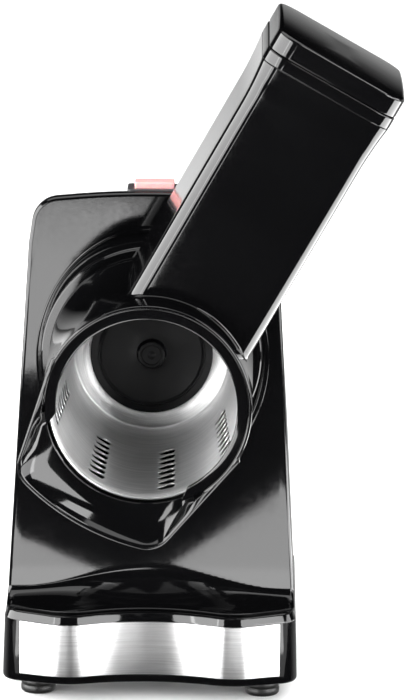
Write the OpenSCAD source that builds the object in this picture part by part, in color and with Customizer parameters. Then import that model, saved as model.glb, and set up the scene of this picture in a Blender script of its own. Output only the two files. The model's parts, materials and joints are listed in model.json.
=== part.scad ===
// Electric drum slicer: an upright motor body on a steel-banded plinth, a bayonet socket,
// a removable feed head with a grating drum, a pusher and a push button. Millimetres.
// Working datum: x = 0 on the body's centre line, y = 0 on the front plate, z = 0 on the table.
// The drum axis lies along Y and the front faces -Y. in_row() moves the datum to the row's origin.

/* [Body] */
// Height of the front plate's top above the table
body_top = 252; // [248:1:258]
// Half width of the shell just above the plinth
low_half_w = 71; // [70:0.5:73]
// Half width of the shell at its top
top_half_w = 59.5; // [58:0.5:62]
// Depth of the body behind the front plate
body_depth = 118; // [112:1:130]
// Thickness of the moulded walls
wall = 2.5; // [2:0.1:3]
// Radius of the shell's top corners
corner_r = 13.5; // [10:0.5:16]
// Distance from the front plate to the seam between the covers
seam_y = 40; // [38:1:44]

/* [Plinth] */
// Height of the plinth's top ledge
plinth_top = 46; // [44:1:50]
// Height of the plinth's underside
plinth_low = 10.6; // [9:0.2:12]
// Half width of the plinth at its foot
plinth_half_w = 72.7; // [72:0.1:75]
// Reach of the plinth in front of the plate at its hollow middle
plinth_front = 19; // [18:0.5:20]
// Depth of the hollow between the two bumps of the plinth's front
wave = 8; // [4:0.5:8]
// Height of the steel band
band_h = 26.6; // [20:0.2:28]
// Radius of each rubber foot
foot_r = 8.6; // [7:0.2:10]

/* [Socket] */
// Height of the drum axis above the table
axis_z = 178.7; // [176:0.1:182]
// Outer radius of the bayonet socket
socket_r = 53.4; // [52.8:0.1:54]
// Reach of the socket in front of the plate
socket_reach = 29.6; // [28:0.1:31]

/* [Feed head] */
// Outer radius of the drum barrel
barrel_r = 49; // [48.8:0.1:49.3]
// Distance from the plate to the front of the head
head_reach = 140.6; // [138:0.1:144]
// Turn of the head from upright, with the bayonet open
head_tilt = 29.3; // [0:0.1:30]
// Outer width of the feed chute
chute_w = 63.6; // [60:0.1:64]
// Outer depth of the feed chute
chute_d = 86.2; // [80:0.1:88]
// Distance of the chute's front wall behind the head's front
chute_set = 22.3; // [20:0.1:24]
// Distance from the drum axis to the top of the chute
chute_top = 164.8; // [150:0.1:175]
// Reach of the spout below the drum axis
spout_len = 63.8; // [60:0.1:68]

/* [Drum] */
// Outer radius of the drum at its front
drum_front_r = 44.8; // [43:0.1:45]
// Outer radius of the drum at its back
drum_back_r = 38.5; // [36:0.1:41]
// Rows of cutting slots around the drum
slot_rows = 8; // [4:1:10]
// Cutting slots in each row
slots_per_row = 8; // [4:1:9]

/* [Gear train] */
// Teeth on the motor pinion and on the first small gear
pinion_teeth = 14; // [14:1:16]
// Teeth on the first large gear
first_teeth = 48; // [44:2:48]
// Teeth on the second large gear
second_teeth = 42; // [40:2:42]
// Teeth on the second small gear
last_pinion_teeth = 16; // [14:1:16]
// Teeth on the output gear
output_teeth = 40; // [36:2:40]

/* [Hidden] */

black = "#0d0d0e";
steel = "#c9cacb";
cap_low = chute_top + 6.6;
cap_h = 10.8;
cap_w = 68.4;
gland_rim = 2;
run_gap = 0.05;
round_fn = 96;
// Furthest reach in +X, the right top corner of the tilted pusher cap, less its rounding
reach_x = (cap_low + cap_h) * sin(head_tilt) + cap_w / 2 * cos(head_tilt) - 1.2;
// Shift that puts the row's origin under the middle of the whole object
row_x = -(reach_x - plinth_half_w) / 2;
row_y = (head_reach - body_depth - gland_rim) / 2;

// ---- placing helpers ----
module in_row() translate([row_x, row_y, 0]) children();
module on_axis() in_row() translate([0, 0, axis_z]) children();
module on_head() on_axis() rotate([0, head_tilt, 0]) children();

// A rod, a tube and a plate whose axis or thickness lies along Y, from y0 to y1
module rod(r, y0, y1) translate([0, y0, 0]) rotate([-90, 0, 0]) cylinder(r = r, h = y1 - y0, $fn = round_fn);
module tube(r_out, r_in, y0, y1) difference() {
  rod(r_out, y0, y1);
  rod(r_in, y0 - 1, y1 + 1);
}
module slab(y0, y1) translate([0, y1, 0]) rotate([90, 0, 0]) linear_extrude(y1 - y0) children();
module side_slab(x0, x1) translate([x0, 0, 0]) rotate([90, 0, 90]) linear_extrude(x1 - x0) children();
module box(x0, x1, y0, y1, z0, z1) translate([x0, y0, z0]) cube([x1 - x0, y1 - y0, z1 - z0]);
module rounded_box(x, y, z0, z1, r) translate([0, 0, z0]) linear_extrude(z1 - z0)
  polygon(rounded_rect(x / 2, y / 2, r));

// ---- outlines ----
function arc(cx, cy, rx, ry, a0, a1, n) =
  [for (i = [0 : n]) [cx + rx * cos(a0 + (a1 - a0) * i / n), cy + ry * sin(a0 + (a1 - a0) * i / n)]];
function rounded_rect(hx, hy, r) = concat(
  arc(hx - r, hy - r, r, r, 0, 90, 6), arc(-hx + r, hy - r, r, r, 90, 180, 6),
  arc(-hx + r, -hy + r, r, r, 180, 270, 6), arc(hx - r, -hy + r, r, r, 270, 360, 6));
function ellipse(a, b, cy, n) = [for (i = [0 : n - 1]) [a * cos(360 * i / n), cy + b * sin(360 * i / n)]];

// Front view of the shell: tapering sides, round top corners and a slightly arched top
crown = 2.6;
function half_w(z) = low_half_w + (top_half_w - low_half_w) * (z - plinth_top) / (body_top - plinth_top);
function front_outline(inset) =
  let (w0 = half_w(plinth_top) - inset, w1 = half_w(body_top) - inset, top = body_top - inset,
    r = corner_r - inset, edge = w1 - r)
  concat([[-w0, plinth_top - (inset > 0 ? 1 : 0)], [w0, plinth_top - (inset > 0 ? 1 : 0)]],
    arc(edge, top - crown - r, r, r, 3, 84, 8),
    [for (i = [1 : 7]) let (x = edge * (1 - i / 4)) [x, top - crown * pow(x / edge, 2)]],
    arc(-edge, top - crown - r, r, r, 96, 177, 8));

// Side view of the shell: the front sweeps out over the plinth, the top falls to the rear
sweep_y = 30;
sweep_z = 56;
// Below 1, the sweep starts gently and turns quickly into the ledge
sweep_power = 0.74;
ledge_h = 2;
top_edge_r = 4;
back_r = 36;
top_slope = 15;
slope_start = 8;
back_arc_z = body_top - (body_depth - back_r - slope_start) * tan(top_slope) - back_r / cos(top_slope);
function side_outline(inset) =
  let (low = plinth_top - (inset > 0 ? 1 : 0))
  concat([[body_depth - inset, low]],
    arc(body_depth - back_r, back_arc_z, back_r - inset, back_r - inset, 0, 90 - top_slope, 8),
    [[slope_start, body_top - inset]],
    arc(top_edge_r, body_top - top_edge_r, top_edge_r - inset, top_edge_r - inset, 90, 180, 4),
    [for (a = [0 : 7.5 : 90]) [(sweep_y + inset) * pow(cos(a), sweep_power) - sweep_y,
      plinth_top + ledge_h + sweep_z - (sweep_z + inset) * sin(a)]],
    [[-sweep_y, low]]);

// Plan view of the plinth: round corners, and a front with a broad hollow between two tight bumps
front_corner_r = 10.5;
rear_corner_r = 16;
bump_x = 41;
bump_half_w = 10;
wave_slope = 2 * wave / bump_x;
function wavy_y(x) =
  let (a = abs(x), bend_x = bump_x - bump_half_w)
  -plinth_front - (a < bend_x ? wave_slope * a * a / bend_x / 2
    : a < bump_x + bump_half_w ? wave - wave_slope * pow(a - bump_x, 2) / bump_half_w / 2
    : wave - wave_slope * (a - bump_x - bump_half_w / 2));
function plan_outline(inset) =
  let (fr = front_corner_r - inset, rr = rear_corner_r - inset, start = 270 + atan(wave_slope),
    fx = plinth_half_w - front_corner_r, end_x = fx + front_corner_r * cos(start),
    fy = wavy_y(end_x) - front_corner_r * sin(start))
  concat(
    arc(fx, fy, fr, fr, start, 360, 8),
    arc(plinth_half_w - rear_corner_r, body_depth - rear_corner_r, rr, rr, 0, 90, 8),
    arc(-plinth_half_w + rear_corner_r, body_depth - rear_corner_r, rr, rr, 90, 180, 8),
    arc(-fx, fy, fr, fr, 180, 540 - start, 8),
    [for (i = [-15 : 15]) let (x = end_x * i / 16) [x, wavy_y(x) + inset]]);

module shell_solid(inset, y0, y1) intersection() {
  slab(y0, y1) polygon(front_outline(inset));
  side_slab(-80, 80) polygon(side_outline(inset));
  translate([0, 0, plinth_top - 2]) linear_extrude(body_top) polygon(plan_outline(inset + 0.8));
}

// ---- covers ----
bush_r = 8;
socket_screw_at = [for (a = [45 : 90 : 315]) 38 * [cos(a), sin(a)]];
button_y = 15;
button_w = 19.4;
button_d = 10.5;
module front_cover() color(black) in_row() difference() {
  shell_solid(0, -40, seam_y);
  shell_solid(wall, -40, seam_y + 1);
  translate([0, 0, axis_z]) rod(bush_r, -5, 5);
  translate([0, 0, axis_z]) for (p = socket_screw_at) at(p) rod(1.6, -5, 5);
  box(-button_w / 2 - 2, button_w / 2 + 2, button_y - 7, button_y + 7, body_top - 12, body_top + 5);
}

rear_screw_at = [for (x = [-48, 48]) for (z = [62, 184]) [x, z]];
vent_count = 7;
module rear_cover() color(black) in_row() difference() {
  shell_solid(0, seam_y, body_depth + 5);
  shell_solid(wall, seam_y - 1, body_depth + 5);
  for (i = [0 : vent_count - 1])
    box(-26, 26, body_depth - 8, body_depth + 8, 92 + 9 * i, 95.5 + 9 * i);
  for (p = rear_screw_at) at(p) rod(screw_r, body_depth - 30, body_depth + 8);
}

screw_r = 2;
screw_head_h = 1.8;
module rear_screws() color(steel) in_row() for (p = rear_screw_at) at(p) difference() {
  union() {
    rod(screw_r, body_depth - 16, body_depth + 0.5);
    rod(3.9, body_depth, body_depth + screw_head_h);
  }
  rod(1.5, body_depth + screw_head_h - 1, body_depth + 3);
}

// ---- plinth ----
band_low = plinth_low + 4.2;
band_half_w = 64;
band_t = 1;
module band_solid() intersection() {
  translate([0, 0, band_low]) linear_extrude(band_h) difference() {
    polygon(plan_outline(0));
    polygon(plan_outline(band_t));
  }
  box(-band_half_w, band_half_w, -40, -10, 0, plinth_top);
}
module steel_band() color(steel) in_row() band_solid();

foot_at = [for (x = [-55.5, 55.5]) for (y = [1, 98]) [x, y]];
gland_z = 26;
gland_x = -40;
plinth_floor = 3;
// Half width of the plinth at its top, where the shell stands back a little
plinth_top_half_w = 71.7;
module plinth() color(black) in_row() difference() {
  intersection() {
    translate([0, 0, plinth_low]) linear_extrude(plinth_top - plinth_low) polygon(plan_outline(0));
    slab(-40, body_depth + 1) polygon([[-plinth_half_w, plinth_low], [plinth_half_w, plinth_low],
      [plinth_top_half_w, plinth_top], [-plinth_top_half_w, plinth_top]]);
  }
  translate([0, 0, plinth_low + plinth_floor]) linear_extrude(plinth_top) polygon(plan_outline(wall + 1));
  band_solid();
  translate([gland_x, 0, gland_z]) rod(6.5, body_depth - 10, body_depth + 2);
  for (p = foot_at) translate([p[0], p[1], 0]) cylinder(r = 2.1, h = 40, $fn = 48);
}

// Soft feet with a rounded lower edge
module rubber_feet() color("#161616") in_row() for (p = foot_at) translate([p[0], p[1], 0])
  difference() {
    rotate_extrude($fn = 64) polygon(concat(
      [[0, 0]], arc(foot_r - 1.6, 1.6, 1.6, 1.6, -90, 0, 4), [[foot_r, plinth_low], [0, plinth_low]]));
    translate([0, 0, -1]) cylinder(r = 3.6, h = 6, $fn = 48);
    cylinder(r = 2.1, h = 20, $fn = 48);
  }
module plinth_screws() color(steel) in_row() for (p = foot_at) translate([p[0], p[1], 0]) {
  translate([0, 0, 5]) cylinder(r = 2, h = 14, $fn = 48);
  translate([0, 0, 3.2]) cylinder(r = 3.4, h = 1.8, $fn = 48);
}

// Bush that guides and clamps a mains cord through the plinth's rear wall
cord_r = 3.6;
module cord_gland() color("#1a1a1a") in_row() translate([gland_x, 0, gland_z]) difference() {
  union() {
    rod(6.4, body_depth - 9, body_depth);
    rod(8.4, body_depth, body_depth + gland_rim);
    rod(8.4, body_depth - 9, body_depth - 4.2);
  }
  rod(cord_r, body_depth - 20, body_depth + 9);
}

// ---- socket ----
lug_count = 3;
lug_angle = 15;
lug_y = [-15, -10];
socket_in_r = 50;
lug_r = 51.6;
groove_r = 52;
socket_floor_y = -3.5;
// Pie wedge about the drum axis in the x-z plane, from angle a0 to a1 measured from +X towards +Z
module wedge(r, a0, a1) polygon(concat([[0, 0]], arc(0, 0, r, r, a0, a1, 8)));
module socket_collar() color(black) on_axis() difference() {
  rod(socket_r, -socket_reach, 0);
  rod(socket_in_r, -socket_reach - 1, socket_floor_y);
  rod(bush_r, -10, 5);
  for (i = [0 : lug_count - 1]) let (a = 120 * i - head_tilt) {
    slab(-socket_reach - 1, lug_y[1] + 0.6) wedge(groove_r, a - lug_angle / 2 - 1, a + lug_angle / 2 + 1);
    slab(lug_y[0] - 0.6, lug_y[1] + 0.6)
      wedge(groove_r, a - lug_angle / 2 - 1, a + head_tilt + lug_angle / 2 + 1);
  }
  for (p = socket_screw_at) at(p) rod(1.6, -10, 5);
}
module socket_screws() color(steel) on_axis() for (p = socket_screw_at) at(p) {
  rod(1.6, socket_floor_y - 1, 2.5);
  rod(3, socket_floor_y - 1.6, socket_floor_y);
}
// Oval rim on the plate around the socket
bezel_w = 57;
bezel_h = 65.5;
bezel_drop = 8.5;
bezel_band = 3.3;
module socket_bezel() color("#2b2b2c") on_axis() slab(-1.4, 0) difference() {
  polygon(ellipse(bezel_w, bezel_h, -bezel_drop, 120));
  polygon(ellipse(bezel_w - bezel_band, bezel_h - bezel_band, -bezel_drop, 120));
  circle(socket_r + 0.3, $fn = round_fn);
}
spindle_r = 5;
module spindle_bush() color("#b08d57") on_axis() tube(bush_r, spindle_r + run_gap, -9, 4);

// ---- push button ----
button_top = body_top + 3.8;
stem_r = 2.5;
button_seat = body_top - 7;
module button_bezel() color(black) in_row() translate([0, button_y, 0]) difference() {
  union() {
    rounded_box(button_w + 7, button_d + 6, body_top, body_top + 0.8, 2);
    rounded_box(button_w + 3.4, button_d + 3, button_seat - 2, body_top + 0.4, 1.5);
  }
  rounded_box(button_w + 0.8, button_d + 0.8, button_seat, body_top + 5, 1.2);
  translate([0, 0, button_seat - 5]) cylinder(r = stem_r + 0.3, h = 20, $fn = 48);
}
module button_cap() color("#e84c46") in_row() translate([0, button_y, 0]) {
  rounded_box(button_w, button_d, button_top - 7, button_top, 1.2);
  translate([0, 0, button_seat - 8]) cylinder(r = stem_r, h = 12, $fn = 48);
}
spring_turns = 3;
module button_spring() color(steel) in_row() translate([0, button_y, button_seat])
  difference() {
    cylinder(r = 4.4, h = button_top - 7 - button_seat, $fn = 48);
    translate([0, 0, -1]) cylinder(r = 3.4, h = 20, $fn = 48);
    for (i = [1 : spring_turns]) translate([0, 0, 0.95 * i - 0.3]) difference() {
      cylinder(r = 5, h = 0.35, $fn = 48);
      cylinder(r = 3.9, h = 0.35, $fn = 48);
    }
  }
switch_top = button_seat - 12;
module micro_switch() color("#20242a") in_row() translate([0, button_y, 0]) {
  box(-10, 10, -5, 5, switch_top - 11, switch_top);
  box(-8, 8, wall - button_y, -5, switch_top - 9, switch_top - 6);
  translate([0, 0, switch_top]) cylinder(r = 1.2, h = 0.7, $fn = 32);
  for (x = [-8, 0, 8]) box(x - 1.5, x + 1.5, -0.4, 0.4, switch_top - 17, switch_top - 11);
}

// ---- gear geometry: 25 degree involute teeth ----
pressure = 25;
backlash = 0.12;
first_m = 1.25;
second_m = 1.5;
output_m = 1.75;
first_mesh = first_m * (pinion_teeth + first_teeth) / 2;
second_mesh = second_m * (pinion_teeth + second_teeth) / 2;
output_mesh = output_m * (last_pinion_teeth + output_teeth) / 2;
// Direction from one gear centre to the next, going down from the output gear
second_dir = -58.6;
first_dir = 211;
second_at = output_mesh * [cos(second_dir), sin(second_dir)];
first_at = second_at + second_mesh * [cos(first_dir), sin(first_dir)];
motor_drop = sqrt(pow(first_mesh, 2) - pow(first_at[0], 2));
motor_at = [0, first_at[1] - motor_drop];
motor_dir = atan2(-motor_drop, -first_at[0]);

function inv(a) = tan(a) * 180 / PI - a;
function flank_angle(r, z, m) =
  let (rp = m * z / 2, rb = rp * cos(pressure))
  90 / z - backlash / rp * 90 / PI + inv(pressure) - inv(acos(min(1, rb / max(r, rb))));
// Spur gear outline with one tooth centred on the angle phase
function gear_points(z, m, phase) =
  let (rp = m * z / 2, root = rp - 1.25 * m, tip = rp + 0.95 * m, steps = 3)
  [for (i = [0 : z - 1]) for (k = [-steps : steps])
    if (k != 0) let (s = abs(k), r = tip - (tip - root) * (s - 1) / (steps - 1),
      a = phase + 360 * i / z + sign(k) * flank_angle(r, z, m)) [r * cos(a), r * sin(a)]];
module spur(z, m, phase, y0, y1) slab(y0, y1) polygon(gear_points(z, m, phase));
// Phases that put a tooth of one gear in a gap of the next at rest
function gap_towards(dir, z) = dir + 180 + 180 / z;

output_y = [6, 13.5];
second_y = [15, 21.5];
first_y = [23, 29];
pin_r = 3;
module at(p) translate([p[0], 0, p[1]]) children();

module output_gear() color("#e8e4d8") on_axis() difference() {
  union() {
    spur(output_teeth, output_m, second_dir, output_y[0], output_y[1]);
    rod(9, output_y[0] - 1.5, output_y[1] + 1);
  }
  rod(spindle_r, 0, 30);
}
module second_gear() color("#e8e4d8") on_axis() at(second_at) difference() {
  union() {
    spur(last_pinion_teeth, output_m, gap_towards(second_dir, last_pinion_teeth), output_y[0], second_y[0]);
    spur(second_teeth, second_m, first_dir, second_y[0], second_y[1]);
  }
  rod(pin_r + run_gap, 0, 40);
}
module first_gear() color("#e8e4d8") on_axis() at(first_at) difference() {
  union() {
    spur(pinion_teeth, second_m, gap_towards(first_dir, pinion_teeth), second_y[0], first_y[0]);
    spur(first_teeth, first_m, motor_dir, first_y[0], first_y[1]);
  }
  rod(pin_r + run_gap, 0, 40);
}
shaft_r = 2.5;
module motor_pinion() color("#b9b9b4") on_axis() at(motor_at) difference() {
  spur(pinion_teeth, first_m, gap_towards(motor_dir, pinion_teeth), first_y[0] - 0.5, first_y[1] + 1);
  rod(shaft_r, 0, 60);
}
// Spindle: a round journal through the bush and a hexagon that drives the drum
drum_back_y = -24.7;
hex_y = [drum_back_y - 5, -12];
module drive_hex() translate([0, hex_y[0], 0]) rotate([-90, 0, 0])
  cylinder(r = spindle_r - 0.4, h = hex_y[1] - hex_y[0], $fn = 6);
module drive_spindle() color(steel) on_axis() {
  rod(spindle_r, hex_y[1], 17);
  drive_hex();
}

plate_front_y = [2.5, 4.5];
plate_rear_y = [31.5, 33.5];
post_at = [[-45, 0], [45, 0], [-48, -96], [50, -96]];
module gear_plate_outline() polygon(concat(
  arc(44, 20, 8, 8, 0, 90, 6), arc(-44, 20, 8, 8, 90, 180, 6),
  arc(-50, -106, 6, 6, 180, 270, 6), arc(52, -106, 6, 6, 270, 360, 6)));
module gear_plate(y, hole_r, hole_at) difference() {
  slab(y[0], y[1]) gear_plate_outline();
  at(hole_at) rod(hole_r, y[0] - 1, y[1] + 1);
  for (p = [first_at, second_at]) at(p) rod(pin_r, y[0] - 1, y[1] + 1);
  for (p = post_at) at(p) rod(2, y[0] - 1, y[1] + 1);
}
module gear_plate_front() color("#9a9c9e") on_axis() gear_plate(plate_front_y, 10, [0, 0]);
module gear_plate_rear() color("#9a9c9e") on_axis() gear_plate(plate_rear_y, bush_r, motor_at);
module plate_posts() color(steel) on_axis() for (p = post_at) at(p) {
  rod(4, plate_front_y[1], plate_rear_y[0]);
  rod(2, plate_front_y[0], plate_rear_y[1]);
}
module gear_pins() color(steel) on_axis() for (p = [first_at, second_at]) at(p)
  rod(pin_r, plate_front_y[0], plate_rear_y[1]);

// ---- motor ----
can_r = 26;
can_y = [33.5, 92];
module on_motor() on_axis() at(motor_at) children();
module motor_can() color("#8d9093") on_motor() {
  tube(can_r, can_r - 2, can_y[0] + 2, can_y[1]);
  tube(can_r, bush_r, can_y[0], can_y[0] + 2);
}
module motor_end_cap() color("#2a2a2c") on_motor() {
  tube(can_r, 5.2, can_y[1], can_y[1] + 3);
  tube(can_r, can_r - 2, can_y[1] + 3, can_y[1] + 5);
}
module motor_magnets() color("#3a3a3d") on_motor() difference() {
  tube(can_r - 2, 17.5, 40, 76);
  for (s = [0, 180]) rotate([0, s, 0]) slab(30, 80) wedge(60, 60, 120);
}
module motor_bearings() color("#b08d57") on_motor() {
  tube(bush_r, shaft_r + run_gap, 32, 38);
  tube(5.2, shaft_r + run_gap, can_y[1] - 3, can_y[1] + 3);
}
module motor_shaft() color(steel) on_motor() rod(shaft_r, first_y[0] - 2, can_y[1] + 14);
armature_slots = 5;
module armature() color("#75787c") on_motor() difference() {
  rod(16.5, 44, 72);
  rod(shaft_r, 0, 100);
  for (i = [0 : armature_slots - 1]) rotate([0, 360 / armature_slots * i, 0]) box(-1.2, 1.2, 0, 100, 8, 20);
}
module armature_windings() color("#a8602c") on_motor() {
  tube(14, shaft_r, 40, 44);
  tube(14, shaft_r, 72, 77);
}
module commutator() color("#b87333") on_motor() tube(6, shaft_r, 77.5, 87);
module brush_holders() color("#caa64a") on_motor() for (s = [-1, 1]) difference() {
  box(s > 0 ? 7.5 : -21, s > 0 ? 21 : -7.5, 79, can_y[1], -4, 4);
  box(-30, 30, 80.5, 84.5, -2.5, 2.5);
}
module carbon_brushes() color("#333333") on_motor() for (s = [-1, 1])
  box(s > 0 ? 6.3 : -19, s > 0 ? 19 : -6.3, 80.5, 84.5, -2.5, 2.5);
blade_count = 7;
fan_y = [98, 105];
module cooling_fan() color("#dcdcd8") on_motor() difference() {
  union() {
    rod(5, fan_y[0], fan_y[1]);
    rod(20, fan_y[1] - 1.4, fan_y[1]);
    for (i = [0 : blade_count - 1]) rotate([0, 360 / blade_count * i, 0])
      box(-0.6, 0.6, fan_y[0], fan_y[1], 3, 20);
  }
  rod(shaft_r, 0, 120);
}

// ---- drum ----
rim_r = 46;
rim_y = -head_reach + 10;
drum_wall = 1;
hub_seat_r = 29.5;
function drum_r(y) = drum_back_r + (drum_front_r - drum_back_r) * (drum_back_y - y) / (drum_back_y - rim_y);
// A slanted slot near the front half of the wall, at distance y along the axis
slot_from = rim_y + 13;
slot_pitch = 7.6;
module slot_row() for (i = [0 : slots_per_row - 1]) let (y = slot_from + slot_pitch * i)
  translate([0, y, drum_r(y) - 4]) rotate([0, 0, 24]) translate([-4.7, -1.1, 0]) cube([9.4, 2.2, 8]);
module drum_shell() color(steel) on_axis() difference() {
  rotate([-90, 0, 0]) rotate_extrude($fn = round_fn) polygon([
    [rim_r, rim_y], [rim_r, rim_y + 2.4], [drum_r(rim_y + 4), rim_y + 4], [drum_back_r, drum_back_y - 1.6],
    [drum_back_r - 1.6, drum_back_y], [hub_seat_r, drum_back_y], [hub_seat_r, drum_back_y - drum_wall],
    [drum_back_r - 1.6, drum_back_y - drum_wall], [drum_back_r - drum_wall, drum_back_y - 1.8],
    [drum_r(rim_y + 4) - drum_wall, rim_y + 4], [rim_r - 2.6, rim_y + 2], [rim_r - 2.6, rim_y]]);
  for (i = [0 : slot_rows - 1]) rotate([0, 360 / slot_rows * i + 33, 0]) slot_row();
}
module drum_hub() color(black) on_axis() difference() {
  union() {
    rod(hub_seat_r, drum_back_y - drum_wall, drum_back_y);
    rod(34, drum_back_y, drum_back_y + 2.5);
    tube(25.4, 24.4, drum_back_y - 2, drum_back_y);
    rod(9, drum_back_y, drum_back_y + 9);
    rod(6.7, drum_back_y - 6, drum_back_y);
  }
  drive_hex();
}

// ---- feed head, drawn upright about the drum axis ----
barrel_in_r = 47;
flange_y = [-socket_reach - 2.4, -socket_reach - 0.4];
chute_y = [-head_reach + chute_set, -head_reach + chute_set + chute_d];
chute_mid = (chute_y[0] + chute_y[1]) / 2;
ring_y = -head_reach + 12;
module chute_hole(gap) translate([0, chute_mid, 0])
  rounded_box(chute_w - 2 * wall - gap, chute_d - 2 * wall - gap, 20, chute_top + 30, 4);
module head_barrel() color(black) on_head() difference() {
  union() {
    rod(barrel_r, ring_y, -7);
    rod(socket_r - 0.2, flange_y[0], flange_y[1]);
  }
  rod(barrel_in_r, ring_y - 1, 0);
  chute_hole(0);
}
module bayonet_lugs() color(black) on_head() for (i = [0 : lug_count - 1]) difference() {
  slab(lug_y[0], lug_y[1]) wedge(lug_r, 120 * i - lug_angle / 2, 120 * i + lug_angle / 2);
  rod(barrel_r, -30, 0);
}
module feed_chute() color(black) on_head() difference() {
  translate([0, chute_mid, 0]) rounded_box(chute_w, chute_d, 30, chute_top, 6.5);
  chute_hole(0);
  rod(barrel_r, -head_reach, 0);
}
collar_w = 67.4;
collar_d = chute_d + 3;
module chute_collar() color(black) on_head() difference() {
  translate([0, chute_mid, 0]) rounded_box(collar_w, collar_d, chute_top, chute_top + 6.3, 7);
  chute_hole(0);
}

// Outline of the spout: the ring's circle drawn out downwards into a round-cornered bib
spout_side = 11.5;
spout_corner = 13;
spout_corner_z = 47;
function spout_outline(inset) =
  let (ring = barrel_r - inset, c = spout_corner, r = c - inset,
    side_x = barrel_r * cos(spout_side) - tan(spout_side) * (spout_corner_z - barrel_r * sin(spout_side)),
    cx = side_x - c / cos(spout_side), dz = spout_corner_z - spout_len,
    bow = (c * c - cx * cx - dz * dz) / (2 * (dz + c)),
    turn = atan2(bow + dz, cx), bow_in = bow - inset, bow_z = bow - spout_len)
  concat(arc(0, 0, ring, ring, -spout_side, 180 + spout_side, 48),
    arc(-cx, -spout_corner_z, r, r, 180 + spout_side, 360 - turn - (180 - 2 * turn), 8),
    arc(0, bow_z, bow_in, bow_in, 180 + turn, 360 - turn, 8),
    arc(cx, -spout_corner_z, r, r, 360 - turn, 360 - spout_side, 8));
spout_floor = 2;
module spout_ring() color(black) on_head() difference() {
  slab(-head_reach, ring_y) polygon(spout_outline(0));
  slab(-head_reach - 1, ring_y - spout_floor) polygon(spout_outline(2.2));
  rod(barrel_in_r, -head_reach - 1, 0);
}
retainer_in_r = 42;
retainer_gap = 50;
module drum_retainer() color(black) on_head() difference() {
  tube(barrel_in_r, retainer_in_r, -head_reach + 1.5, -head_reach + 4.5);
  slab(-head_reach, ring_y) wedge(80, 270 - retainer_gap, 270 + retainer_gap);
}

// ---- pusher ----
pusher_gap = 1;
pusher_low = 50;
module pusher_body() color(black) on_head() difference() {
  intersection() {
    chute_hole(pusher_gap);
    box(-50, 50, -200, 0, pusher_low, cap_low);
  }
  translate([0, chute_mid, 0])
    rounded_box(chute_w - 2 * wall - 6, chute_d - 2 * wall - 6, pusher_low + wall, cap_low + 1, 3);
}
module pusher_cap() color(black) on_head() translate([0, chute_mid, 0]) {
  rounded_box(cap_w, collar_d + 1, cap_low, cap_low + cap_h - 2.5, 7.4);
  rounded_box(cap_w - 2.4, collar_d - 1.4, cap_low + cap_h - 2.5, cap_low + cap_h - 0.8, 6.4);
  rounded_box(cap_w - 6, collar_d - 5, cap_low + cap_h - 0.8, cap_low + cap_h, 5);
}

front_cover();
rear_cover();
plinth();
steel_band();
plinth_screws();
rubber_feet();
rear_screws();
cord_gland();
socket_collar();
socket_bezel();
socket_screws();
spindle_bush();
button_bezel();
button_cap();
button_spring();
micro_switch();
motor_can();
motor_magnets();
motor_end_cap();
motor_bearings();
brush_holders();
carbon_brushes();
motor_shaft();
armature();
armature_windings();
commutator();
cooling_fan();
motor_pinion();
gear_plate_front();
gear_plate_rear();
plate_posts();
gear_pins();
first_gear();
second_gear();
output_gear();
drive_spindle();
drum_shell();
drum_hub();
head_barrel();
bayonet_lugs();
feed_chute();
chute_collar();
spout_ring();
drum_retainer();
pusher_body();
pusher_cap();
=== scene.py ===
import json
import math

import bpy
import bmesh
from mathutils import Matrix, Vector


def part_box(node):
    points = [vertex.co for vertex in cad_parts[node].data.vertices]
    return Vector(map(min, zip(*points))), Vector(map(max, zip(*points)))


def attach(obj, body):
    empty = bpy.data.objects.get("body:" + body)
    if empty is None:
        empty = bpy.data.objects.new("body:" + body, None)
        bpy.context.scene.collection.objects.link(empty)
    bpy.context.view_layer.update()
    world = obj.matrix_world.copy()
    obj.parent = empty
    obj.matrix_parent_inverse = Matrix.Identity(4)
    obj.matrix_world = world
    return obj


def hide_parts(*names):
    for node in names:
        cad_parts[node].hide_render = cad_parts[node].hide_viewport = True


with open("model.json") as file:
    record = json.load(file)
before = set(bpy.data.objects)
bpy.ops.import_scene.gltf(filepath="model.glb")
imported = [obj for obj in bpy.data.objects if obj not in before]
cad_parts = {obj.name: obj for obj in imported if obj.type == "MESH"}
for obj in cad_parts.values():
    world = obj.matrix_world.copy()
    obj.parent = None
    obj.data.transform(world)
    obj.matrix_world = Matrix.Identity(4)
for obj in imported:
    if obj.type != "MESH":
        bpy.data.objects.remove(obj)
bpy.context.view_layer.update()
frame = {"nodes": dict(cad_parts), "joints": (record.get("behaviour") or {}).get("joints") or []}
joints = {j["name"]: j for j in frame["joints"]}

# ---- datum and sizes, in millimetres: x = 0 on the body's centre line, y = 0 on its front plate ----
MM = 0.001
AXIS = Vector(joints["drum_spin"]["pos_m"])
LIFT = Vector(joints["pusher_lift"]["axis"])
TILT = math.atan2(LIFT.x, LIFT.z)
PLATE_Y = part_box("socket_collar")[1].y


def span(node, axis, end):
    """One face of a node's box, in millimetres from the datum."""
    offset = (AXIS.x, PLATE_Y, 0)[axis]
    return (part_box(node)[end][axis] - offset) / MM


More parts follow.
